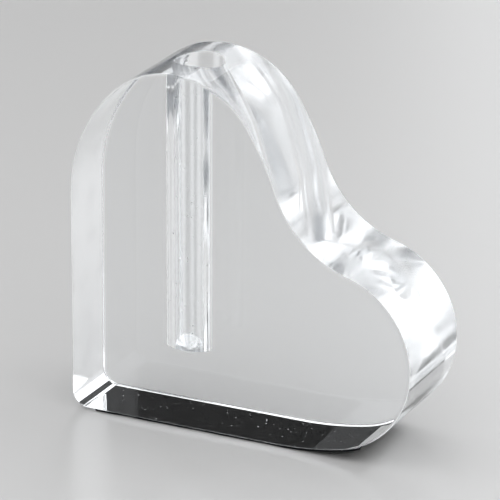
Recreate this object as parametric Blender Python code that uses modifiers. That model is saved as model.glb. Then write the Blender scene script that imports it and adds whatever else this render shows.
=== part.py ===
"""Clear heart block with a drilled stem hole, standing on a thin black base film.

The block is one thick slice of clear acrylic, cut to a heart that stands on one of its two
straight sides. Its outline is two lobes, a hollow between them and two straight sides that
meet at a rounded tip, all tangent to each other. The film lies under the flat underside and
follows the first stretch of the lobe. X runs along the base, Y through the thickness and
Z up; the origin is under the middle of the whole part, on the surface it stands on.
"""
import math

import bmesh
import bpy

# Heart block, metres and degrees
BLOCK_WIDTH = 0.0950            # tip side to the far edge of the side lobe
BLOCK_HEIGHT = 0.0943           # underside to the crown of the top lobe
BLOCK_THICKNESS = 0.0300        # front face to back face
TIP_RADIUS = 0.0043             # fillet where the two straight sides meet
UNDERSIDE_RADIUS = 0.0920       # slow rise from the flat underside to the side lobe
SIDE_LOBE_RADIUS = 0.0241
SIDE_LOBE_LIFT = 0.0013         # lowest point of the side lobe's circle above the underside
CLEFT_RADIUS = 0.0297           # hollow between the lobes
SLOPE_RADIUS = 0.0814           # slow curve from the hollow up to the top lobe
SLOPE_END = 32.2                # direction of the slope's upper end, from the top lobe's centre
TOP_LOBE_RADIUS = 0.0245
TOP_LOBE_INSET = 0.0050         # nearest point of the top lobe's circle to the upright side
SHOULDER_RADIUS = 0.0396        # slow curve from the top lobe down to the upright side
EDGE_CHAMFER = 0.0005           # polished break along the front and back outlines

# Stem hole, drilled down through the crown of the top lobe
HOLE_DIAMETER = 0.0125
HOLE_DEPTH = 0.0756             # from the crown to the end of the full diameter
DRILL_POINT = 140.0             # included angle of the cone at the hole's end

# Base film under the block
FILM_THICKNESS = 0.0005
FILM_GAP = 0.0003               # space that parts the film's solid from the block's
FILM_TIP_CLEARANCE = 0.0017     # from the end of the tip fillet to the film's left end
FILM_SIDE_MARGIN = 0.0010       # from the front and back faces to the film's edges
FILM_WRAP = 26.0                # how far the film follows the side lobe, from straight down

# Fineness of the solids
ARC_STEP = 3.0                  # degrees of turn between two points of an arc
LONG_ARC_STEP = 1.5             # the same on the slow curves, whose points lie further apart
HOLE_SIDES = 64
DRILL_OVERRUN = 0.0040          # how far the drill stands out above the crown
SMOOTH_LIMIT = 30.0             # edges sharper than this stay crisp, degrees
SQUARE_LIMIT = 80.0             # edges sharper than this are chamfered, degrees
FLAT_LIMIT = 1e-3               # faces this near to one plane become one face, radians
MERGE_DISTANCE = 1e-7

COLLECTION = "heart_stand"
CUTTERS = "cutters"

BLOCK_BASE = FILM_THICKNESS + FILM_GAP
LEFT = -BLOCK_WIDTH / 2


def clear_scene():
    """Remove every object that the file opened with."""
    for item in list(bpy.data.objects):
        bpy.data.objects.remove(item, do_unlink=True)


def new_collection(name):
    """Make an empty collection in the scene."""
    made = bpy.data.collections.new(name)
    bpy.context.scene.collection.children.link(made)
    return made


def new_material(name, colour, roughness, transmission=0.0, ior=1.5):
    """Make a Principled material; metallic stays at zero for both finishes."""
    made = bpy.data.materials.new(name)
    made.use_nodes = True
    shader = made.node_tree.nodes["Principled BSDF"]
    shader.inputs["Base Color"].default_value = (*colour, 1.0)
    shader.inputs["Roughness"].default_value = roughness
    shader.inputs["Metallic"].default_value = 0.0
    shader.inputs["Transmission Weight"].default_value = transmission
    shader.inputs["IOR"].default_value = ior
    made.diffuse_color = (*colour, 1.0)
    return made


def circles():
    """Centres of the outline's circles, with the tip's corner at (0, 0)."""
    side = (BLOCK_WIDTH - SIDE_LOBE_RADIUS, SIDE_LOBE_RADIUS + SIDE_LOBE_LIFT)
    top = (TOP_LOBE_RADIUS + TOP_LOBE_INSET, BLOCK_HEIGHT - TOP_LOBE_RADIUS)

    # The slow curves touch a straight side and hold a lobe inside them.
    reach = UNDERSIDE_RADIUS - SIDE_LOBE_RADIUS
    run = math.sqrt(reach ** 2 - (UNDERSIDE_RADIUS - side[1]) ** 2)
    underside = (side[0] - run, UNDERSIDE_RADIUS)
    reach = SHOULDER_RADIUS - TOP_LOBE_RADIUS
    drop = math.sqrt(reach ** 2 - (SHOULDER_RADIUS - top[0]) ** 2)
    shoulder = (SHOULDER_RADIUS, top[1] - drop)

    # The slope holds the top lobe inside it and touches it at SLOPE_END.
    end = math.radians(SLOPE_END)
    reach = SLOPE_RADIUS - TOP_LOBE_RADIUS
    slope = (top[0] - reach * math.cos(end), top[1] - reach * math.sin(end))

    # The hollow touches the side lobe and the slope from outside.
    across = (slope[0] - side[0], slope[1] - side[1])
    distance = math.hypot(*across)
    to_side = SIDE_LOBE_RADIUS + CLEFT_RADIUS
    to_slope = SLOPE_RADIUS + CLEFT_RADIUS
    along = (distance ** 2 + to_side ** 2 - to_slope ** 2) / (2 * distance)
    off = math.sqrt(to_side ** 2 - along ** 2)
    unit = (across[0] / distance, across[1] / distance)
    cleft = (side[0] + along * unit[0] + off * unit[1],
             side[1] + along * unit[1] - off * unit[0])
    return {"side": side, "top": top, "underside": underside, "shoulder": shoulder,
            "slope": slope, "cleft": cleft}


def direction(start, end):
    """Angle in degrees of the line from one centre to another."""
    return math.degrees(math.atan2(end[1] - start[1], end[0] - start[0]))


def arc(centre, radius, start, end, step=ARC_STEP):
    """Points of an arc from one direction to another, ends included, in degrees."""
    count = max(2, math.ceil(abs(end - start) / step))
    points = []
    for index in range(count + 1):
        angle = math.radians(start + (end - start) * index / count)
        points.append((centre[0] + radius * math.cos(angle),
                       centre[1] + radius * math.sin(angle)))
    return points


def heart_outline():
    """The block's outline, anticlockwise from the tip fillet's upper end."""
    at = circles()
    rise = direction(at["underside"], at["side"])
    into_cleft = direction(at["side"], at["cleft"])
    out_of_cleft = direction(at["slope"], at["cleft"])
    fall = direction(at["shoulder"], at["top"])
    stretches = [
        arc((TIP_RADIUS, TIP_RADIUS), TIP_RADIUS, 180, 270, 2 * ARC_STEP),
        arc(at["underside"], UNDERSIDE_RADIUS, -90, rise, LONG_ARC_STEP),
        arc(at["side"], SIDE_LOBE_RADIUS, rise, into_cleft),
        arc(at["cleft"], CLEFT_RADIUS, into_cleft + 180, out_of_cleft + 180),
        arc(at["slope"], SLOPE_RADIUS, out_of_cleft, SLOPE_END, LONG_ARC_STEP),
        arc(at["top"], TOP_LOBE_RADIUS, SLOPE_END, fall),
        arc(at["shoulder"], SHOULDER_RADIUS, fall, 180),
    ]
    return join_stretches(stretches)


def join_stretches(stretches):
    """One list of points from stretches that each start where the last one ends."""
    points = list(stretches[0])
    for stretch in stretches[1:]:
        shared = math.dist(points[-1], stretch[0]) < MERGE_DISTANCE
        points.extend(stretch[1:] if shared else stretch)
    return points


def film_path(offset):
    """The line that runs this far outside the block's underside, from left to right."""
    at = circles()
    rise = direction(at["underside"], at["side"])
    start = (TIP_RADIUS + FILM_TIP_CLEARANCE, -offset)
    stretches = [
        [start],
        arc(at["underside"], UNDERSIDE_RADIUS + offset, -90, rise, LONG_ARC_STEP),
        arc(at["side"], SIDE_LOBE_RADIUS + offset, rise, FILM_WRAP - 90),
    ]
    return join_stretches(stretches)


def film_outline():
    """Closed section of the film: its lower line, then its upper line back again."""
    lower = film_path(FILM_GAP + FILM_THICKNESS)
    upper = film_path(FILM_GAP)
    return lower + upper[::-1]


def extruded(name, outline, depth, collection):
    """Solid of a flat outline: a filled 2D curve, extruded and then made a mesh.

    The outline lies in the XZ plane with the tip's corner at (0, 0), and the solid is
    centred on Y = 0.
    """
    data = bpy.data.curves.new(name + "_outline", "CURVE")
    data.dimensions = "2D"
    data.fill_mode = "BOTH"
    data.extrude = depth / 2
    spline = data.splines.new("POLY")
    spline.points.add(len(outline) - 1)
    for point, (along, up) in zip(spline.points, outline):
        point.co = (along, up, 0.0, 1.0)
    spline.use_cyclic_u = True
    curve = bpy.data.objects.new(name + "_outline", data)
    curve.location = (LEFT, 0.0, BLOCK_BASE)
    curve.rotation_euler = (math.radians(90), 0.0, 0.0)
    collection.objects.link(curve)
    bpy.context.view_layer.update()

    evaluated = curve.evaluated_get(bpy.context.evaluated_depsgraph_get())
    mesh = bpy.data.meshes.new_from_object(evaluated)
    solid = bpy.data.objects.new(name, mesh)
    solid.matrix_world = curve.matrix_world.copy()
    collection.objects.link(solid)
    bpy.data.objects.remove(curve, do_unlink=True)

    work = bmesh.new()
    work.from_mesh(mesh)
    bmesh.ops.remove_doubles(work, verts=work.verts, dist=MERGE_DISTANCE)
    bmesh.ops.recalc_face_normals(work, faces=work.faces)
    bmesh.ops.dissolve_limit(work, angle_limit=FLAT_LIMIT, verts=work.verts, edges=work.edges)
    work.to_mesh(mesh)
    work.free()
    return solid


def drill(collection):
    """Cutter for the stem hole: a round bar with a drill point at its lower end."""
    radius = HOLE_DIAMETER / 2
    floor = BLOCK_HEIGHT - HOLE_DEPTH
    point = radius / math.tan(math.radians(DRILL_POINT / 2))
    mesh = bpy.data.meshes.new("stem_drill")
    work = bmesh.new()
    bar = bmesh.ops.create_cone(work, cap_ends=True, segments=HOLE_SIDES, radius1=radius,
                                radius2=radius, depth=HOLE_DEPTH + DRILL_OVERRUN)
    bmesh.ops.translate(work, verts=bar["verts"],
                        vec=(0, 0, floor + (HOLE_DEPTH + DRILL_OVERRUN) / 2))
    end_face = min(work.faces, key=lambda face: face.calc_center_median().z)
    tip = bmesh.ops.poke(work, faces=[end_face])["verts"][0]
    tip.co.z = floor - point
    work.to_mesh(mesh)
    work.free()
    cutter = bpy.data.objects.new("stem_drill", mesh)
    top_centre = circles()["top"]
    cutter.location = (LEFT + top_centre[0], 0.0, BLOCK_BASE)
    cutter.hide_render = True
    cutter.display_type = "WIRE"
    collection.objects.link(cutter)
    return cutter


def heart_block(parts, cutters):
    """The clear block: outline with polished edges, then the stem hole."""
    block = extruded("heart_block", heart_outline(), BLOCK_THICKNESS, parts)
    chamfer = block.modifiers.new("edge_chamfer", "BEVEL")
    chamfer.width = EDGE_CHAMFER
    chamfer.segments = 1
    chamfer.limit_method = "ANGLE"
    chamfer.angle_limit = math.radians(SQUARE_LIMIT)
    chamfer.use_clamp_overlap = False
    hole = block.modifiers.new("stem_hole", "BOOLEAN")
    hole.operation = "DIFFERENCE"
    hole.solver = "EXACT"
    hole.object = drill(cutters)
    block.data.shade_smooth()
    block.data.set_sharp_from_angle(angle=math.radians(SMOOTH_LIMIT))
    block.data.materials.append(
        new_material("clear_acrylic", (0.95, 0.98, 0.98), 0.02, transmission=1.0, ior=1.49))
    return block


def base_film(parts):
    """The black film that the block stands on."""
    depth = BLOCK_THICKNESS - 2 * FILM_SIDE_MARGIN
    film = extruded("base_film", film_outline(), depth, parts)
    film.data.shade_smooth()
    film.data.set_sharp_from_angle(angle=math.radians(SMOOTH_LIMIT))
    film.data.materials.append(new_material("black_film", (0.012, 0.012, 0.014), 0.55))
    return film


def main():
    """Build both pieces."""
    clear_scene()
    parts = new_collection(COLLECTION)
    cutters = new_collection(CUTTERS)
    heart_block(parts, cutters)
    base_film(parts)


main()
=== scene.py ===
"""Looks of the clear heart stand block: its polished acrylic, its drilled hole and its film.

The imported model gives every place: the block's and the film's boxes are read from it, and
the shapes here repeat its outline at a finer step, with the small rounded edges, the hole's
broken rim and the hand-cut edges of the film. All sizes are in metres.
"""
import logging
import math
import random
from dataclasses import dataclass, field
from enum import Enum

import bmesh
import bpy
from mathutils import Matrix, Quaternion, Vector

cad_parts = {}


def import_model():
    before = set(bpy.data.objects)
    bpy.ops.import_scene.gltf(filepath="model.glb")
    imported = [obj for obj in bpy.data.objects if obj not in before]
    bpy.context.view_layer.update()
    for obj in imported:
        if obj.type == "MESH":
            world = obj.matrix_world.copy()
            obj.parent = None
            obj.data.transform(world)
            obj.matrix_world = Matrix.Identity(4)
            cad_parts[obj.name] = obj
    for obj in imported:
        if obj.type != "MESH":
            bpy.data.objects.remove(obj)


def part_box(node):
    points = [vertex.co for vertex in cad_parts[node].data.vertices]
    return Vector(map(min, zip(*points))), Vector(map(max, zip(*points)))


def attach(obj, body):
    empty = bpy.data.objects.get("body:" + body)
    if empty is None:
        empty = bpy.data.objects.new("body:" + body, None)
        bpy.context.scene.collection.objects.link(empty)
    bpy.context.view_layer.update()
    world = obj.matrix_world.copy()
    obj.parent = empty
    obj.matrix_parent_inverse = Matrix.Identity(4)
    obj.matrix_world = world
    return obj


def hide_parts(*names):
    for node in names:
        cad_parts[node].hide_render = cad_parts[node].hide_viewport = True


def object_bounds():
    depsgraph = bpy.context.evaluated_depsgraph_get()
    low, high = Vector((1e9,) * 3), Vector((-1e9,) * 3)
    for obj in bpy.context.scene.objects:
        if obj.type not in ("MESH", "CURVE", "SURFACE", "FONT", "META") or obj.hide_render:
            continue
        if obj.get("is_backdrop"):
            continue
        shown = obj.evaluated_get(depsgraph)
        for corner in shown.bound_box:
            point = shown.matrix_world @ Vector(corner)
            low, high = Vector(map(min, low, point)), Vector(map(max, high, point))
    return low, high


BODY = "root"
BAND_SCALE = 0.31416            # a Wave texture's scale times the pitch of its bands
log = logging.getLogger("heart_stand")


class Finish(Enum):
    """Which finish a face of the block takes; the value is its material slot."""

    POLISHED = 0
    FLAMED = 1
    SCRAPED = 2
    UNDERSIDE = 3
    DRILLED = 4


class FilmFinish(Enum):
    """Which finish a face of the film takes; the value is its material slot."""

    BLACK = 0
    PALE = 1


def as_object(work: bmesh.types.BMesh, name: str) -> bpy.types.Object:
    """Turn a finished bmesh into an object in the scene, and free the bmesh.

    Args:
        work: the finished bmesh.
        name: the name of the object and its mesh.

    Returns:
        The object.
    """
    data = bpy.data.meshes.new(name)
    work.to_mesh(data)
    work.free()
    made = bpy.data.objects.new(name, data)
    bpy.context.scene.collection.objects.link(made)
    return made


def flat_sheet(name: str, width: float, depth: float) -> bpy.types.Object:
    """Make a flat four-cornered sheet round its own middle.

    Args:
        name: the sheet's name.
        width: its size along X.
        depth: its size along Y.

    Returns:
        The sheet, at the origin.
    """
    work = bmesh.new()
    across, along = width / 2, depth / 2
    corners = ((-across, -along), (across, -along), (across, along), (-across, along))
    work.faces.new([work.verts.new((x, y, 0.0)) for x, y in corners])
    return as_object(work, name)


@dataclass(frozen=True)
class OutlinePoint:
    """A point of the heart's outline, with the direction that faces out of the block."""

    across: float
    up: float
    out_across: float
    out_up: float

    def moved(self, distance: float) -> tuple[float, float]:
        """The place this far outside the outline.

        Args:
            distance: metres along the outward direction, negative for inwards.

        Returns:
            The distance across and up from the tip's corner.
        """
        return (self.across + distance * self.out_across, self.up + distance * self.out_up)


@dataclass
class HeartOutline:
    """The heart seen from the front, with the tip's corner at (0, 0)."""

    width: float
    height: float
    tip_radius: float = 0.0043
    underside_radius: float = 0.0920
    side_lobe_radius: float = 0.0241
    side_lobe_lift: float = 0.0013
    cleft_radius: float = 0.0297
    slope_radius: float = 0.0814
    slope_end: float = 32.2
    top_lobe_radius: float = 0.0245
    top_lobe_inset: float = 0.0050
    shoulder_radius: float = 0.0396
    spacing: float = 0.00035
    least_steps: int = 6
    straight_steps: int = 24
    centres: dict[str, tuple[float, float]] = field(default_factory=dict)

    def __post_init__(self) -> None:
        """Work out the centres of the seven circles from the sizes."""
        side = (self.width - self.side_lobe_radius, self.side_lobe_radius + self.side_lobe_lift)
        top = (self.top_lobe_radius + self.top_lobe_inset, self.height - self.top_lobe_radius)
        reach = self.underside_radius - self.side_lobe_radius
        run = math.sqrt(reach ** 2 - (self.underside_radius - side[1]) ** 2)
        underside = (side[0] - run, self.underside_radius)
        reach = self.shoulder_radius - self.top_lobe_radius
        drop = math.sqrt(reach ** 2 - (self.shoulder_radius - top[0]) ** 2)
        shoulder = (self.shoulder_radius, top[1] - drop)
        end = math.radians(self.slope_end)
        reach = self.slope_radius - self.top_lobe_radius
        slope = (top[0] - reach * math.cos(end), top[1] - reach * math.sin(end))
        self.centres = {
            "tip": (self.tip_radius, self.tip_radius),
            "side": side,
            "top": top,
            "underside": underside,
            "shoulder": shoulder,
            "slope": slope,
            "cleft": self._cleft_centre(side, slope),
        }

    def _cleft_centre(self, side: tuple[float, float],
                      slope: tuple[float, float]) -> tuple[float, float]:
        """Centre of the hollow, which touches the side lobe and the slope from outside.

        Args:
            side: centre of the side lobe.
            slope: centre of the slow curve up to the top lobe.

        Returns:
            The centre, across and up.
        """
        across, up = slope[0] - side[0], slope[1] - side[1]
        distance = math.hypot(across, up)
        to_side = self.side_lobe_radius + self.cleft_radius
        to_slope = self.slope_radius + self.cleft_radius
        along = (distance ** 2 + to_side ** 2 - to_slope ** 2) / (2 * distance)
        off = math.sqrt(to_side ** 2 - along ** 2)
        return (side[0] + (along * across + off * up) / distance,
                side[1] + (along * up - off * across) / distance)

    def direction(self, start: str, end: str) -> float:
        """Direction in degrees from one circle's centre to another's."""
        (x0, z0), (x1, z1) = self.centres[start], self.centres[end]
        return math.degrees(math.atan2(z1 - z0, x1 - x0))

    def arc(self, name: str, radius: float, start: float, end: float) -> list[OutlinePoint]:
        """Points along one circle, ends included.

        Args:
            name: the circle's name in centres.
            radius: its radius.
            start: first direction from the centre, in degrees.
            end: last direction, in degrees; the hollow runs clockwise and faces its centre.

        Returns:
            The points, in order.
        """
        length = math.radians(abs(end - start)) * radius
        count = max(self.least_steps, math.ceil(length / self.spacing))
        side = 1 if end > start else -1
        found = []
        for index in range(count + 1):
            angle = math.radians(start + (end - start) * index / count)
            found.append(self.on_circle(name, radius, angle, side))
        return found

    def on_circle(self, name: str, radius: float, angle: float, side: int = 1) -> OutlinePoint:
        """One point of a circle.

        Args:
            name: the circle's name in centres.
            radius: its radius.
            angle: direction from its centre, in radians.
            side: 1 where the block lies inside the circle, -1 where it lies outside.

        Returns:
            The point, with its outward direction.
        """
        x, z = self.centres[name]
        along, up = math.cos(angle), math.sin(angle)
        return OutlinePoint(x + radius * along, z + radius * up, side * along, side * up)

    def before_crown(self, mouth: float) -> list[OutlinePoint]:
        """From the tip's fillet, anticlockwise, to the right edge of the hole's mouth.

        Args:
            mouth: half the width of the hole's mouth, rim included.

        Returns:
            The points, in order, without the mouth's own edge.
        """
        rise = self.direction("underside", "side")
        into_cleft = self.direction("side", "cleft")
        out_of_cleft = self.direction("slope", "cleft")
        edge = math.degrees(math.acos(mouth / self.top_lobe_radius))
        stretches = [
            self.arc("tip", self.tip_radius, 180, 270),
            self.straight_underside(),
            self.arc("underside", self.underside_radius, -90, rise),
            self.arc("side", self.side_lobe_radius, rise, into_cleft),
            self.arc("cleft", self.cleft_radius, into_cleft + 180, out_of_cleft + 180),
            self.arc("slope", self.slope_radius, out_of_cleft, self.slope_end),
            self.arc("top", self.top_lobe_radius, self.slope_end, edge)[:-1],
        ]
        return self.joined(stretches)

    def after_crown(self, mouth: float) -> list[OutlinePoint]:
        """From the left edge of the hole's mouth round to the upright side's lower end.

        Args:
            mouth: half the width of the hole's mouth, rim included.

        Returns:
            The points, in order, without the mouth's own edge.
        """
        fall = self.direction("shoulder", "top")
        edge = math.degrees(math.acos(mouth / self.top_lobe_radius))
        stretches = [
            self.arc("top", self.top_lobe_radius, 180 - edge, fall)[1:],
            self.arc("shoulder", self.shoulder_radius, fall, 180),
            self.straight_upright(),
        ]
        return self.joined(stretches)

    def crown(self, mouth: float, count: int) -> list[OutlinePoint]:
        """Points over the hole's mouth, one above each corner of the mouth's half round.

        Args:
            mouth: half the width of the hole's mouth, rim included.
            count: how many steps the half round has.

        Returns:
            count + 1 points, from right to left.
        """
        found = []
        for index in range(count + 1):
            across = mouth * math.cos(math.pi * index / count)
            found.append(self.on_circle("top", self.top_lobe_radius,
                                        math.acos(across / self.top_lobe_radius)))
        return found

    def straight_underside(self) -> list[OutlinePoint]:
        """The flat underside, from the tip's fillet to the slow rise.

        Returns:
            The points, in order, both ends left out.
        """
        start, end = self.tip_radius, self.centres["underside"][0]
        count = self.straight_steps
        return [OutlinePoint(start + (end - start) * i / count, 0.0, 0.0, -1.0)
                for i in range(1, count)]

    def straight_upright(self) -> list[OutlinePoint]:
        """The upright side, from the shoulder down to the tip's fillet.

        Returns:
            The points, in order, both ends left out.
        """
        start, end = self.centres["shoulder"][1], self.tip_radius
        count = self.straight_steps
        return [OutlinePoint(0.0, start + (end - start) * i / count, -1.0, 0.0)
                for i in range(1, count)]

    @staticmethod
    def joined(stretches: list[list[OutlinePoint]]) -> list[OutlinePoint]:
        """One run of points, without the doubles where two stretches meet.

        Args:
            stretches: the runs to join, in order.

        Returns:
            The joined run.
        """
        run: list[OutlinePoint] = []
        for point in (p for stretch in stretches for p in stretch):
            if not run or math.dist((point.across, point.up), (run[-1].across, run[-1].up)) > 1e-7:
                run.append(point)
        return run


class NodeBench:
    """Short ways to add and join nodes in one node tree."""

    def __init__(self, tree: bpy.types.NodeTree) -> None:
        """Work on this tree."""
        self.tree = tree

    def add(self, kind: str, **settings: object) -> bpy.types.Node:
        """Add a node.

        Args:
            kind: the node's type name.
            settings: its properties; a name that starts with in_ sets an input's value.

        Returns:
            The new node.
        """
        node = self.tree.nodes.new(kind)
        for name, value in settings.items():
            if name.startswith("in_"):
                node.inputs[name[3:].replace("_", " ")].default_value = value
            else:
                setattr(node, name, value)
        return node

    def join(self, source: bpy.types.NodeSocket, target: bpy.types.NodeSocket) -> None:
        """Link two sockets."""
        self.tree.links.new(source, target)

    def math(self, operation: str, first: object, second: object = None,
             clamp: bool = False) -> bpy.types.NodeSocket:
        """Add a Math node.

        Args:
            operation: its operation.
            first: a socket or a number.
            second: a socket, a number or nothing.
            clamp: keep the result from 0 to 1.

        Returns:
            The node's output.
        """
        node = self.add("ShaderNodeMath", operation=operation, use_clamp=clamp)
        for slot, value in zip(node.inputs, (first, second)):
            if isinstance(value, bpy.types.NodeSocket):
                self.join(value, slot)
            elif value is not None:
                slot.default_value = value
        return node.outputs[0]

    def range(self, value: bpy.types.NodeSocket, low: float, high: float,
              to_low: float = 0.0, to_high: float = 1.0) -> bpy.types.NodeSocket:
        """Map a value's range smoothly onto another.

        Args:
            value: what is mapped.
            low: value that gives to_low.
            high: value that gives to_high.
            to_low: result at low.
            to_high: result at high.

        Returns:
            The mapped value.
        """
        node = self.add("ShaderNodeMapRange", interpolation_type="SMOOTHSTEP")
        self.join(value, node.inputs["Value"])
        for slot, number in zip(("From Min", "From Max", "To Min", "To Max"),
                                (low, high, to_low, to_high)):
            node.inputs[slot].default_value = number
        return node.outputs["Result"]


class Effects:
    """Surface effects that several finishes share, each one node group built once."""

    def __init__(self) -> None:
        """Build the three groups."""
        self.hairlines = self._hairlines()
        self.specks = self._specks()
        self.ripple = self._ripple()

    @staticmethod
    def _group(name: str, inputs: dict[str, float], output: str) -> tuple[
            bpy.types.NodeTree, NodeBench, bpy.types.Node, bpy.types.Node]:
        """Start a group with number inputs and one number output.

        Args:
            name: the group's name.
            inputs: each input's name and first value.
            output: the output's name.

        Returns:
            The group, a bench on it, its input node and its output node.
        """
        tree = bpy.data.node_groups.new(name, "ShaderNodeTree")
        for label, value in inputs.items():
            socket = tree.interface.new_socket(label, in_out="INPUT", socket_type="NodeSocketFloat")
            socket.default_value = value
        tree.interface.new_socket(output, in_out="OUTPUT", socket_type="NodeSocketFloat")
        bench = NodeBench(tree)
        return tree, bench, bench.add("NodeGroupInput"), bench.add("NodeGroupOutput")

    def _hairlines(self) -> bpy.types.NodeTree:
        """Fine wiping scratches in two directions.

        Returns:
            The group, which gives a mask.
        """
        tree, bench, given, result = self._group(
            "hairlines", {"Scale": 60.0, "Amount": 0.5}, "Mask")
        place = bench.add("ShaderNodeTexCoord").outputs["Object"]
        layers = []
        for turn, stretch in ((0.35, 0.035), (1.75, 0.05)):
            lay = bench.add("ShaderNodeMapping")
            lay.inputs["Rotation"].default_value = (0.15, turn, 0.1)
            lay.inputs["Scale"].default_value = (stretch, 1.0, 1.0)
            bench.join(place, lay.inputs["Vector"])
            noise = bench.add("ShaderNodeTexNoise", in_Detail=3.0, in_Roughness=0.6)
            bench.join(lay.outputs[0], noise.inputs["Vector"])
            bench.join(bench.math("MULTIPLY", given.outputs["Scale"], 22.0),
                       noise.inputs["Scale"])
            layers.append(bench.range(noise.outputs["Fac"], 0.66, 0.74))
        both = bench.math("MAXIMUM", layers[0], layers[1])
        bench.join(bench.math("MULTIPLY", both, given.outputs["Amount"], clamp=True),
                   result.inputs["Mask"])
        return tree

    def _specks(self) -> bpy.types.NodeTree:
        """Small round specks, scattered over the surface.

        Returns:
            The group, which gives a mask.
        """
        tree, bench, given, result = self._group(
            "specks", {"Scale": 400.0, "Size": 0.2, "Share": 0.2}, "Mask")
        place = bench.add("ShaderNodeTexCoord").outputs["Object"]
        cells = bench.add("ShaderNodeTexVoronoi", feature="F1")
        bench.join(place, cells.inputs["Vector"])
        bench.join(given.outputs["Scale"], cells.inputs["Scale"])
        split = bench.add("ShaderNodeSeparateColor")
        bench.join(cells.outputs["Color"], split.inputs["Color"])
        chosen = bench.math("LESS_THAN", split.outputs["Red"], given.outputs["Share"])
        width = bench.math("MULTIPLY", given.outputs["Size"], split.outputs["Green"])
        near = bench.math("SUBTRACT", 1.0,
                          bench.math("DIVIDE", cells.outputs["Distance"],
                                     bench.math("ADD", width, 0.02)), clamp=True)
        bench.join(bench.math("MULTIPLY", bench.range(near, 0.0, 0.5), chosen),
                   result.inputs["Mask"])
        return tree

    def _ripple(self) -> bpy.types.NodeTree:
        """Slow unevenness that polishing leaves.

        Returns:
            The group, which gives a height.
        """
        tree, bench, given, result = self._group(
            "polish_ripple", {"Scale": 90.0, "Fine": 0.25}, "Height")
        place = bench.add("ShaderNodeTexCoord").outputs["Object"]
        slow = bench.add("ShaderNodeTexNoise", in_Detail=1.0, in_Roughness=0.4)
        fast = bench.add("ShaderNodeTexNoise", in_Detail=2.0, in_Roughness=0.5)
        for noise, times in ((slow, 1.0), (fast, 5.0)):
            bench.join(place, noise.inputs["Vector"])
            bench.join(bench.math("MULTIPLY", given.outputs["Scale"], times),
                       noise.inputs["Scale"])
        mixed = bench.math("ADD", slow.outputs["Fac"],
                           bench.math("MULTIPLY", fast.outputs["Fac"], given.outputs["Fine"]))
        bench.join(mixed, result.inputs["Height"])
        return tree


def place_group(bench: NodeBench, group: bpy.types.NodeTree,
                **values: float) -> bpy.types.NodeSocket:
    """Put a shared effect in a material.

    Args:
        bench: the material's bench.
        group: the effect.
        values: its inputs.

    Returns:
        The effect's one output.
    """
    node = bench.add("ShaderNodeGroup")
    node.node_tree = group
    for name, value in values.items():
        node.inputs[name].default_value = value
    return node.outputs[0]


def new_material(name: str) -> tuple[bpy.types.Material, NodeBench, bpy.types.Node]:
    """Make a material with its Principled shader.

    Args:
        name: the material's name.

    Returns:
        The material, a bench on its nodes, and the shader.
    """
    made = bpy.data.materials.new(name)
    made.use_nodes = True
    return made, NodeBench(made.node_tree), made.node_tree.nodes["Principled BSDF"]


def bump(bench: NodeBench, height: bpy.types.NodeSocket, depth: float,
         shader: bpy.types.Node) -> None:
    """Give a shader a bump from a height of 0 to 1.

    Args:
        bench: the material's bench.
        height: the height.
        depth: what a height of 1 measures, in metres.
        shader: the shader whose normal it drives.
    """
    node = bench.add("ShaderNodeBump", in_Strength=1.0, in_Distance=depth)
    bench.join(height, node.inputs["Height"])
    bench.join(node.outputs["Normal"], shader.inputs["Normal"])


@dataclass(frozen=True)
class ClearAcrylic:
    """What every finish of the clear acrylic shares."""

    name: str = "clear_acrylic"
    tint: tuple[float, float, float, float] = (0.984, 0.992, 0.997, 1.0)
    ior: float = 1.491
    clear: float = 0.0
    hazy: float = 0.0

    def start(self) -> tuple[bpy.types.Material, NodeBench, bpy.types.Node]:
        """Make the material with its clear body and no surface effects yet.

        Returns:
            The material, a bench on its nodes, and the shader.
        """
        made, bench, shader = new_material(self.name)
        shader.inputs["Base Color"].default_value = self.tint
        shader.inputs["Metallic"].default_value = 0.0
        shader.inputs["Transmission Weight"].default_value = 1.0
        shader.inputs["IOR"].default_value = self.ior
        return made, bench, shader

    def haze(self, bench: NodeBench, mask: bpy.types.NodeSocket, shader: bpy.types.Node,
             low: float = 0.0, high: float = 1.0) -> None:
        """Run the roughness from clear to hazy as a mask goes from low to high.

        Args:
            bench: the material's bench.
            mask: the mask.
            shader: the shader whose roughness it drives.
            low: the mask's value where the surface is clear.
            high: the mask's value where it is hazy.
        """
        bench.join(bench.range(mask, low, high, self.clear, self.hazy),
                   shader.inputs["Roughness"])


@dataclass(frozen=True)
class PolishedAcrylic(ClearAcrylic):
    """The two faces: polished sheet with fine wiping lines."""

    name: str = "polished_acrylic"
    clear: float = 0.003
    hazy: float = 0.06
    ripple_depth: float = 0.000006

    def material(self, effects: Effects) -> bpy.types.Material:
        """Build the finish.

        Args:
            effects: the shared effects that it draws on.

        Returns:
            The material.
        """
        made, bench, shader = self.start()
        lines = place_group(bench, effects.hairlines, Scale=60.0, Amount=0.6)
        self.haze(bench, lines, shader)
        bump(bench, place_group(bench, effects.ripple, Scale=60.0, Fine=0.0),
             self.ripple_depth, shader)
        return made


@dataclass(frozen=True)
class FlamedAcrylic(ClearAcrylic):
    """The sawn walls, polished with a flame: softly uneven, with a trace of haze."""

    name: str = "flamed_acrylic"
    clear: float = 0.06
    hazy: float = 0.24
    ripple_depth: float = 0.00004

    def material(self, effects: Effects) -> bpy.types.Material:
        """Build the finish.

        Args:
            effects: the shared effects that it draws on.

        Returns:
            The material.
        """
        made, bench, shader = self.start()
        cloud = place_group(bench, effects.ripple, Scale=110.0, Fine=0.3)
        self.haze(bench, cloud, shader, 0.45, 0.95)
        bump(bench, place_group(bench, effects.ripple, Scale=70.0, Fine=0.02),
             self.ripple_depth, shader)
        return made


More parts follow.
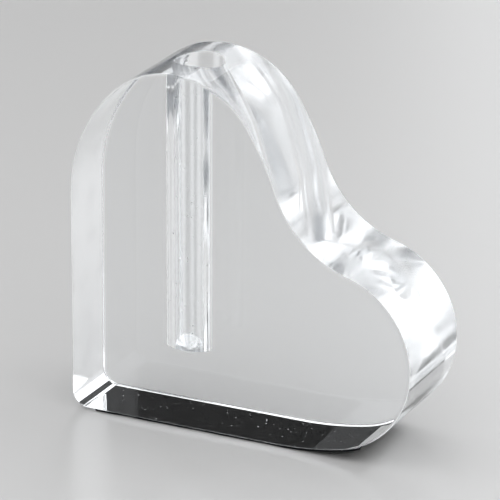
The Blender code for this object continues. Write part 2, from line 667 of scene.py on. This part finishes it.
@dataclass(frozen=True)
class ScrapedAcrylic(ClearAcrylic):
    """The broken edges, scraped by hand and left a little frosted."""

    name: str = "scraped_acrylic"
    clear: float = 0.02
    hazy: float = 0.16

    def material(self, effects: Effects) -> bpy.types.Material:
        """Build the finish.

        Args:
            effects: the shared effects that it draws on.

        Returns:
            The material.
        """
        made, bench, shader = self.start()
        self.haze(bench, place_group(bench, effects.ripple, Scale=240.0, Fine=0.5),
                  shader, 0.4, 0.9)
        return made


@dataclass(frozen=True)
class DustyUnderside(ClearAcrylic):
    """The underside: polished, with specks of dust that cling to it."""

    name: str = "underside_acrylic"
    clear: float = 0.008
    hazy: float = 0.40

    def material(self, effects: Effects) -> bpy.types.Material:
        """Build the finish.

        Args:
            effects: the shared effects that it draws on.

        Returns:
            The material.
        """
        made, bench, shader = self.start()
        fine = place_group(bench, effects.specks, Scale=1500.0, Size=0.42, Share=0.10)
        coarse = place_group(bench, effects.specks, Scale=620.0, Size=0.24, Share=0.07)
        self.haze(bench, bench.math("MAXIMUM", fine, coarse), shader)
        return made


@dataclass(frozen=True)
class DrilledAcrylic(ClearAcrylic):
    """The hole's wall: frosted in fine streaks by the drill, with rings and small chips."""

    name: str = "drilled_acrylic"
    clear: float = 0.02
    hazy: float = 0.12
    chipped: float = 0.50
    streak_scale: float = 2400.0
    streak_stretch: float = 0.05
    ring_pitch: float = 0.0006
    ring_depth: float = 0.000006

    def material(self, effects: Effects) -> bpy.types.Material:
        """Build the finish.

        Args:
            effects: the shared effects that it draws on.

        Returns:
            The material.
        """
        made, bench, shader = self.start()
        place = bench.add("ShaderNodeTexCoord").outputs["Object"]
        drawn = bench.add("ShaderNodeMapping")
        drawn.inputs["Scale"].default_value = (1.0, 1.0, self.streak_stretch)
        bench.join(place, drawn.inputs["Vector"])
        streaks = bench.add("ShaderNodeTexNoise", in_Scale=self.streak_scale, in_Detail=2.0)
        bench.join(drawn.outputs[0], streaks.inputs["Vector"])
        chips = place_group(bench, effects.specks, Scale=900.0, Size=0.40, Share=0.15)
        frost = bench.range(streaks.outputs["Fac"], 0.35, 0.7, self.clear, self.hazy)
        bench.join(bench.math("MAXIMUM", frost, bench.math("MULTIPLY", chips, self.chipped)),
                   shader.inputs["Roughness"])
        rings = bench.add("ShaderNodeTexWave", wave_type="BANDS", bands_direction="Z",
                          in_Scale=BAND_SCALE / self.ring_pitch, in_Distortion=1.5,
                          in_Detail=2.0)
        bench.join(place, rings.inputs["Vector"])
        bump(bench, rings.outputs["Fac"], self.ring_depth, shader)
        return made


@dataclass(frozen=True)
class BlackFilm:
    """The film's lower side and edges: black, with lighter dots of painted reflection from trapped
    air and a faint cloudy lift in tone.
    """

    black: tuple[float, float, float, float] = (0.0075, 0.0085, 0.0100, 1.0)
    # Painted reflection: this lighter grey is mixed into the black where the dots fall; it also
    # gives the faint cloudy lift in tone.
    glint_and_mottle: tuple[float, float, float, float] = (0.06, 0.065, 0.07, 1.0)
    smooth: float = 0.45
    rough: float = 0.7
    sheen: float = 0.25
    grain_depth: float = 0.00002

    def material(self, effects: Effects) -> bpy.types.Material:
        """Build the finish.

        Args:
            effects: the shared effects that it draws on.

        Returns:
            The material.
        """
        made, bench, shader = new_material("black_film")
        # Painted reflection: these lighter dots stand in for light mirrored by air trapped under
        # the film. The cloudy lift mixed in after them is random tone.
        air_glints = place_group(bench, effects.specks, Scale=330.0, Size=0.35, Share=0.16)
        cloud = place_group(bench, effects.ripple, Scale=150.0, Fine=0.4)
        glint_and_mottle_mix = bench.math("MAXIMUM", air_glints, bench.range(cloud, 0.62, 1.1, 0.0, 0.12))
        mix = bench.add("ShaderNodeMix", data_type="RGBA")
        bench.join(glint_and_mottle_mix, mix.inputs["Factor"])
        mix.inputs[6].default_value = self.black
        mix.inputs[7].default_value = self.glint_and_mottle
        bench.join(mix.outputs[2], shader.inputs["Base Color"])
        bench.join(bench.range(cloud, 0.4, 1.0, self.smooth, self.rough),
                   shader.inputs["Roughness"])
        shader.inputs["Specular IOR Level"].default_value = self.sheen
        bump(bench, cloud, self.grain_depth, shader)
        return made


@dataclass(frozen=True)
class PaleAdhesive:
    """The film's upper side: its pale, light-blocking adhesive."""

    pale: tuple[float, float, float, float] = (0.62, 0.63, 0.65, 1.0)
    smooth: float = 0.4
    rough: float = 0.65

    def material(self, effects: Effects) -> bpy.types.Material:
        """Build the finish.

        Args:
            effects: the shared effects that it draws on.

        Returns:
            The material.
        """
        made, bench, shader = new_material("pale_adhesive")
        shader.inputs["Base Color"].default_value = self.pale
        cloud = place_group(bench, effects.ripple, Scale=150.0, Fine=0.4)
        bench.join(bench.range(cloud, 0.4, 1.0, self.smooth, self.rough),
                   shader.inputs["Roughness"])
        return made


@dataclass
class HeartBlock:
    """The clear block: heart outline, rounded edges, and the drilled hole."""

    left: float
    base: float
    thickness: float
    outline: HeartOutline
    edge: float = 0.0005
    edge_steps: int = 4
    hole_radius: float = 0.00625
    hole_depth: float = 0.0756
    drill_point: float = 140.0
    rim: float = 0.00035
    half_round: int = 48
    collar: float = 0.0021
    wall_steps: int = 12
    cone_shares: tuple[float, ...] = (0.66, 0.33, 0.06)
    underside_rise: float = 0.0040
    name: str = "clear_heart_block"
    mesh: bmesh.types.BMesh = field(default_factory=bmesh.new)

    @property
    def axis(self) -> float:
        """Where the hole's axis stands along the base, in the row frame."""
        return self.left + self.outline.centres["top"][0]

    def at(self, across: float, up: float, y: float) -> bmesh.types.BMVert:
        """A new corner, from its place on the outline's drawing and through the thickness."""
        return self.mesh.verts.new((self.left + across, y, self.base + up))

    def face(self, corners: list[bmesh.types.BMVert], finish: Finish = Finish.POLISHED) -> None:
        """A new face with this finish; a corner given twice in a row counts once."""
        kept = [c for i, c in enumerate(corners) if c is not corners[i - 1]]
        self.mesh.faces.new(kept).material_index = finish.value

    def band(self, first: list[bmesh.types.BMVert], second: list[bmesh.types.BMVert],
             finish: Finish = Finish.POLISHED) -> None:
        """Close the strip between two rings.

        Args:
            first: corners of one ring.
            second: as many corners of the other.
            finish: the strip's finish.
        """
        for index in range(len(first)):
            after = (index + 1) % len(first)
            self.face([first[index], first[after], second[after], second[index]], finish)

    @staticmethod
    def crisp(ring: list[bmesh.types.BMVert]) -> None:
        """Keep a ring of edges sharp under smooth shading.

        Args:
            ring: the ring's corners, in order.
        """
        for index, corner in enumerate(ring):
            other = ring[(index + 1) % len(ring)]
            for edge in corner.link_edges:
                if edge.other_vert(corner) is other:
                    edge.smooth = False

    def edge_rings(self, points: list[OutlinePoint], side: int) -> list[list[bmesh.types.BMVert]]:
        """Rings of the rounded edge on one face, from the face to the wall.

        Args:
            points: the whole outline.
            side: -1 for the front face, 1 for the back face.

        Returns:
            edge_steps + 1 rings, one corner for each point.
        """
        rings = []
        for step in range(self.edge_steps + 1):
            turn = math.pi / 2 * step / self.edge_steps
            inset = self.edge * (1 - math.sin(turn))
            depth = side * (self.thickness / 2 - self.edge * (1 - math.cos(turn)))
            rings.append([self.at(*point.moved(-inset), depth) for point in points])
        return rings

    def build(self) -> bpy.types.Object:
        """Build the whole block.

        Returns:
            The block, whose faces carry the slot numbers of Finish.
        """
        mouth = self.hole_radius + self.rim
        before = self.outline.before_crown(mouth)
        over = self.outline.crown(mouth, self.half_round)
        points = before + over + self.outline.after_crown(mouth)
        front, back = self.edge_rings(points, -1), self.edge_rings(points, 1)
        for rings in (front, back):
            self.face(rings[0])
            for first, second in zip(rings, rings[1:]):
                self.band(first, second, Finish.SCRAPED)
        mouth_ring = self.wall(front[-1], back[-1], len(before), over, mouth)
        self.hole(mouth_ring)
        bmesh.ops.recalc_face_normals(self.mesh, faces=self.mesh.faces)
        for polygon in self.mesh.faces:
            polygon.smooth = True
        for ring in (front[0], front[-1], back[0], back[-1]):
            self.crisp(ring)
        return as_object(self.mesh, self.name)

    def wall(self, front: list[bmesh.types.BMVert], back: list[bmesh.types.BMVert],
             start: int, over: list[OutlinePoint], mouth: float) -> list[bmesh.types.BMVert]:
        """The wall between the faces, left open over the hole's mouth.

        Args:
            front: ring where the wall meets the front edge.
            back: ring where it meets the back edge.
            start: index of the first point over the mouth.
            over: the outline's points over the mouth.
            mouth: half the width of the mouth, rim included.

        Returns:
            The mouth's ring, from the right-hand end along the front side and back.
        """
        last = len(over) - 1
        near, far = [], []
        for index, point in enumerate(over):
            reach = mouth * math.sin(math.pi * index / last)
            end = index in (0, last)
            near.append(self.at(point.across, point.up, 0.0 if end else -reach))
            far.append(near[-1] if end else self.at(point.across, point.up, reach))
        for index in range(len(front)):
            after = (index + 1) % len(front)
            spot = index - start
            corners = [front[index], front[after]]
            if 0 <= spot < last:
                self.face([*corners, near[spot + 1], near[spot]], Finish.FLAMED)
                self.face([back[after], back[index], far[spot], far[spot + 1]], Finish.FLAMED)
                continue
            if after == start:
                corners.append(near[0])
            corners += [back[after], back[index]]
            if spot == last:
                corners.append(near[last])
            below = max(corner.co.z for corner in corners) < self.base + self.underside_rise
            self.face(corners, Finish.UNDERSIDE if below else Finish.FLAMED)
        return near + far[-2:0:-1]

    def hole(self, mouth_ring: list[bmesh.types.BMVert]) -> None:
        """The rim's broken edge, the hole's wall and its cone.

        Args:
            mouth_ring: the ring that the wall leaves open.
        """
        count = len(mouth_ring)
        top = self.outline.height
        centre = self.outline.centres["top"]
        floor = top - self.hole_depth
        rings = [mouth_ring]

        def ring(radius: float, level: float | None) -> list[bmesh.types.BMVert]:
            """Corners round the hole's axis.

            Args:
                radius: the ring's radius.
                level: its height on the outline's drawing, or nothing for a ring that
                    follows the curved mouth, one rim below it.

            Returns:
                The corners, in order.
            """
            made = []
            for index in range(count):
                turn = 2 * math.pi * index / count
                across = radius * math.cos(turn)
                up = level
                if up is None:
                    lobe = self.outline.top_lobe_radius
                    up = centre[1] + math.sqrt(lobe ** 2 - across ** 2) - self.rim
                made.append(self.at(centre[0] + across, up, -radius * math.sin(turn)))
            return made

        middle = self.rim * (1 - math.sqrt(0.5))
        soft = ring(self.hole_radius + middle, None)
        for corner in soft:
            corner.co.z += self.rim - middle
        rings.append(soft)
        rings.append(ring(self.hole_radius, None))
        for first, second in zip(rings, rings[1:]):
            self.band(first, second, Finish.SCRAPED)
        wall_rings = [rings[-1]]
        start = top - self.collar
        for step in range(self.wall_steps + 1):
            level = start + (floor - start) * step / self.wall_steps
            wall_rings.append(ring(self.hole_radius, level))
        cone = self.hole_radius / math.tan(math.radians(self.drill_point / 2))
        for share in self.cone_shares:
            wall_rings.append(ring(self.hole_radius * share, floor - cone * (1 - share)))
        for first, second in zip(wall_rings, wall_rings[1:]):
            self.band(first, second, Finish.DRILLED)
        self.face(wall_rings[-1], Finish.DRILLED)
        for edge_ring in (mouth_ring, rings[-1], wall_rings[self.wall_steps + 1]):
            self.crisp(edge_ring)

    def dress(self, block: bpy.types.Object, effects: Effects) -> None:
        """Give the block its finishes, in the order of Finish, and its place on the model.

        Args:
            block: the built block.
            effects: the shared effects.
        """
        makers = {
            Finish.POLISHED: PolishedAcrylic(),
            Finish.FLAMED: FlamedAcrylic(),
            Finish.SCRAPED: ScrapedAcrylic(),
            Finish.UNDERSIDE: DustyUnderside(),
            Finish.DRILLED: DrilledAcrylic(),
        }
        for finish in Finish:
            block.data.materials.append(makers[finish].material(effects))
        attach(block, BODY)
        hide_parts("heart_block")
        log.info("%s: %d faces, hole axis at x=%.4f", self.name, len(block.data.polygons),
                 self.axis)


class FilmPath:
    """The line under the block that the film follows, measured along its length."""

    def __init__(self, points: list[OutlinePoint]) -> None:
        """Measure the way along the points.

        Args:
            points: the line's points, in order.
        """
        self.points = points
        self.lengths = [0.0]
        for before, after in zip(points, points[1:]):
            step = math.dist((before.across, before.up), (after.across, after.up))
            self.lengths.append(self.lengths[-1] + step)
        self.total = self.lengths[-1]

    def spot(self, distance: float) -> OutlinePoint:
        """The place this far along the line.

        Args:
            distance: metres from the line's left end.

        Returns:
            The point there, between its two neighbours.
        """
        index = 0
        while index < len(self.points) - 2 and self.lengths[index + 1] < distance:
            index += 1
        span = self.lengths[index + 1] - self.lengths[index]
        part = min(1.0, max(0.0, (distance - self.lengths[index]) / span))
        low, high = self.points[index], self.points[index + 1]
        return OutlinePoint(low.across + part * (high.across - low.across),
                            low.up + part * (high.up - low.up),
                            low.out_across + part * (high.out_across - low.out_across),
                            low.out_up + part * (high.out_up - low.out_up))


class UnevenCut:
    """A cut made by hand, which wanders in slow and quick swings."""

    SWINGS = 5
    PHASE_SPAN = 6.28

    def __init__(self, dice: random.Random, slowest: float, quickest: float) -> None:
        """Choose the swings.

        Args:
            dice: the seeded source of chance.
            slowest: the lowest rate, in radians to the metre.
            quickest: the highest rate.
        """
        self.swings = [(dice.uniform(slowest, quickest), dice.uniform(0, self.PHASE_SPAN))
                       for _ in range(self.SWINGS)]

    def wander(self, distance: float) -> float:
        """How far the cut has wandered at this distance, from -1 to 1."""
        return sum(math.sin(rate * distance + phase) for rate, phase in self.swings) / self.SWINGS


@dataclass
class BaseFilm:
    """The film under the block: it follows the underside, with edges cut by hand."""

    left: float
    base: float
    depth: float
    outline: HeartOutline
    start: float = 0.0060
    wrap: float = 26.0
    gap: float = 0.0003
    waver: float = 0.00025
    ragged: float = 0.0011
    side_rates: tuple[float, float] = (90.0, 900.0)
    end_rates: tuple[float, float] = (700.0, 3200.0)
    side_narrowness: int = 12
    flat_steps: int = 60
    across_steps: int = 56
    crisp_angle: float = 40.0
    seed: int = 7
    name: str = "black_base_film"

    def path(self) -> FilmPath:
        """The line that the film follows.

        Returns:
            The path, from the film's left end up the side lobe.
        """
        rise = self.outline.direction("underside", "side")
        flat_end = self.outline.centres["underside"][0]
        count = self.flat_steps
        flat = [OutlinePoint(self.start + (flat_end - self.start) * i / count, 0.0, 0.0, -1.0)
                for i in range(count)]
        return FilmPath(self.outline.joined([
            flat,
            self.outline.arc("underside", self.outline.underside_radius, -90, rise),
            self.outline.arc("side", self.outline.side_lobe_radius, rise, self.wrap - 90),
        ]))

    def sheet(self, work: bmesh.types.BMesh, path: FilmPath, offset: float,
              side_cut: UnevenCut, end_cut: UnevenCut) -> list[list[bmesh.types.BMVert]]:
        """Corners of one side of the film.

        Args:
            work: the mesh they belong to.
            path: the line that the film follows.
            offset: how far this side lies outside the block.
            side_cut: the cut along the front and back edges.
            end_cut: the cut across the right-hand end.

        Returns:
            One row of corners, front to back, for each point of the path.
        """
        grid = []
        for reached in path.lengths:
            line = []
            for step in range(self.across_steps + 1):
                share = -1 + 2 * step / self.across_steps
                y = share * self.depth / 2
                end = path.total - self.ragged * (0.5 + 0.5 * end_cut.wander(y))
                distance = reached * end / path.total
                x, z = path.spot(distance).moved(offset)
                nearness = abs(share) ** self.side_narrowness
                trim = nearness * self.waver * (1 - side_cut.wander(distance + share))
                line.append(work.verts.new((self.left + x, y - math.copysign(trim, y),
                                            self.base + z)))
            grid.append(line)
        return grid

    def close(self, work: bmesh.types.BMesh, upper: list[list[bmesh.types.BMVert]],
              lower: list[list[bmesh.types.BMVert]]) -> None:
        """Give the film its two sides and the four edges between them.

        Args:
            work: the mesh.
            upper: corners of the side that faces the block.
            lower: corners of the side that it stands on.
        """
        last = len(upper) - 1
        sides = ((upper, FilmFinish.PALE), (lower, FilmFinish.BLACK))
        for row in range(last):
            for step in range(self.across_steps):
                for grid, finish in sides:
                    face = work.faces.new((grid[row][step], grid[row][step + 1],
                                           grid[row + 1][step + 1], grid[row + 1][step]))
                    face.material_index = finish.value
        for row in range(last):
            for step in (0, self.across_steps):
                work.faces.new((upper[row][step], upper[row + 1][step],
                                lower[row + 1][step], lower[row][step]))
        for step in range(self.across_steps):
            for row in (0, last):
                work.faces.new((upper[row][step], upper[row][step + 1],
                                lower[row][step + 1], lower[row][step]))

    def build(self) -> bpy.types.Object:
        """Build the film as one closed sheet.

        Returns:
            The film, whose faces carry the slot numbers of FilmFinish.
        """
        dice = random.Random(self.seed)
        side_cut = UnevenCut(dice, *self.side_rates)
        end_cut = UnevenCut(dice, *self.end_rates)
        path = self.path()
        work = bmesh.new()
        upper = self.sheet(work, path, self.gap, side_cut, end_cut)
        lower = self.sheet(work, path, self.base, side_cut, end_cut)
        self.close(work, upper, lower)
        bmesh.ops.recalc_face_normals(work, faces=work.faces)
        film = as_object(work, self.name)
        film.data.shade_smooth()
        film.data.set_sharp_from_angle(angle=math.radians(self.crisp_angle))
        return film

    def dress(self, film: bpy.types.Object, effects: Effects) -> None:
        """Give the film its finish and its place on the model.

        Args:
            film: the built film.
            effects: the shared effects.
        """
        makers = {FilmFinish.BLACK: BlackFilm(), FilmFinish.PALE: PaleAdhesive()}
        for finish in FilmFinish:
            film.data.materials.append(makers[finish].material(effects))
        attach(film, BODY)
        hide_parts("base_film")
        log.info("%s: %d faces", self.name, len(film.data.polygons))


@dataclass(frozen=True)
class Card:
    """A flat dark or grey card that stands round the block and faces it."""

    name: str
    azimuth: float
    elevation: float
    width: float
    height: float
    shade: float = 0.004
    distance: float = 2.0
    roughness: float = 0.9
    sheen: float = 0.1

    def build(self, centre: Vector) -> bpy.types.Object:
        """Make the card as a thin sheet.

        Args:
            centre: the point it faces.

        Returns:
            The card.
        """
        turn, tilt = math.radians(self.azimuth), math.radians(self.elevation)
        away = Vector((math.sin(turn) * math.cos(tilt), math.cos(turn) * math.cos(tilt),
                       math.sin(tilt)))
        card = flat_sheet(self.name, self.width, self.height)
        card.location = centre + away * self.distance
        card.rotation_euler = (-away).to_track_quat("Z", "Y").to_euler()
        made, _, shader = new_material(self.name)
        shader.inputs["Base Color"].default_value = (self.shade, self.shade, self.shade, 1.0)
        shader.inputs["Roughness"].default_value = self.roughness
        shader.inputs["Specular IOR Level"].default_value = self.sheen
        card.data.materials.append(made)
        card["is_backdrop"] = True
        return card


@dataclass
class Studio:
    """Pale floor, a white tent of light, cards round the block and the camera."""

    centre: Vector
    azimuth: float = 25.97
    elevation: float = 20.70
    distance: float = 1.0191
    lens: float = 289.1
    roll: float = 0.003
    aim: tuple[float, float, float] = (-0.0038, 0.0, -0.0015)
    floor_size: float = 6.0
    floor_drop: float = 0.00005
    floor_colour: tuple[float, float, float, float] = (0.55, 0.54, 0.53, 1.0)
    floor_roughness: float = 0.34
    floor_sheen: float = 1.0
    sky_colour: tuple[float, float, float, float] = (0.965, 0.982, 1.0, 1.0)
    sky_strength: float = 1.20
    bounces: int = 40
    cards: tuple[Card, ...] = (
        Card("dark_card_left_back", azimuth=325.5, elevation=13.0, width=0.86, height=1.02),
        Card("dark_card_back", azimuth=0.0, elevation=12.0, width=0.50, height=0.96),
        Card("dark_card_right_back", azimuth=49.0, elevation=12.0, width=0.50, height=0.96),
        Card("dark_card_right", azimuth=90.0, elevation=12.0, width=0.60, height=0.96),
        Card("dark_card_right_front", azimuth=135.0, elevation=12.0, width=0.60, height=0.96),
        Card("dark_card_front", azimuth=180.0, elevation=12.0, width=0.50, height=0.96),
        Card("dark_card_left_front", azimuth=225.0, elevation=12.0, width=0.60, height=0.96),
        Card("dark_card_left", azimuth=270.0, elevation=12.0, width=0.60, height=0.96),
        Card("slate_card", azimuth=6.0, elevation=37.0, width=0.80, height=0.46, shade=0.05),
        Card("grey_card", azimuth=208.0, elevation=23.0, width=0.60, height=0.46, shade=0.22),
    )

    def build(self) -> None:
        """Make the floor, the tent, the cards and the camera."""
        self.light_paths()
        self.floor()
        self.tent()
        for card in self.cards:
            card.build(self.centre)
        self.camera()

    def light_paths(self) -> None:
        """Let light turn round inside the block as often as it does in clear acrylic."""
        cycles = bpy.context.scene.cycles
        cycles.max_bounces = self.bounces
        cycles.glossy_bounces = self.bounces
        cycles.transmission_bounces = self.bounces

    def floor(self) -> None:
        """A wide pale floor just under the film."""
        floor = flat_sheet("studio_floor", self.floor_size, self.floor_size)
        floor.location.z = -self.floor_drop
        made, _, shader = new_material("pale_floor")
        shader.inputs["Base Color"].default_value = self.floor_colour
        shader.inputs["Roughness"].default_value = self.floor_roughness
        shader.inputs["Specular IOR Level"].default_value = self.floor_sheen
        floor.data.materials.append(made)
        floor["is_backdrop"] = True

    def tent(self) -> None:
        """White, even light from all round."""
        world = bpy.data.worlds.new("studio")
        world.use_nodes = True
        back = world.node_tree.nodes["Background"]
        back.inputs["Color"].default_value = self.sky_colour
        back.inputs["Strength"].default_value = self.sky_strength
        bpy.context.scene.world = world
        bpy.context.scene.view_settings.view_transform = "Standard"
        bpy.context.scene.view_settings.look = "Medium High Contrast"

    def camera(self) -> None:
        """The camera, at a long lens from the front right."""
        turn, tilt = math.radians(self.azimuth), math.radians(self.elevation)
        back = Vector((math.sin(turn) * math.cos(tilt), -math.cos(turn) * math.cos(tilt),
                       math.sin(tilt)))
        data = bpy.data.cameras.new("camera")
        data.sensor_width = 36.0
        data.lens = self.lens
        data.clip_start = 0.05
        data.clip_end = 50.0
        camera = bpy.data.objects.new("camera", data)
        camera.location = self.centre + Vector(self.aim) + back * self.distance
        level = (-back).to_track_quat("-Z", "Y")
        camera.rotation_euler = (level @ Quaternion((0, 0, 1), self.roll)).to_euler()
        bpy.context.scene.collection.objects.link(camera)
        bpy.context.scene.camera = camera


def main() -> None:
    """Load the model, build the visible pieces around it and set the studio."""
    logging.basicConfig(level=logging.INFO, format="%(name)s %(message)s")
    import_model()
    cad_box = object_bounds()
    block_low, block_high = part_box("heart_block")
    film_low, film_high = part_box("base_film")
    outline = HeartOutline(width=block_high.x - block_low.x, height=block_high.z - block_low.z)
    effects = Effects()

    block_maker = HeartBlock(left=block_low.x, base=block_low.z,
                             thickness=block_high.y - block_low.y, outline=outline)
    block_maker.dress(block_maker.build(), effects)
    film_maker = BaseFilm(left=block_low.x, base=block_low.z,
                          depth=film_high.y - film_low.y, outline=outline)
    film_maker.dress(film_maker.build(), effects)
    Studio(centre=(cad_box[0] + cad_box[1]) / 2).build()


if __name__ == "__main__":
    main()
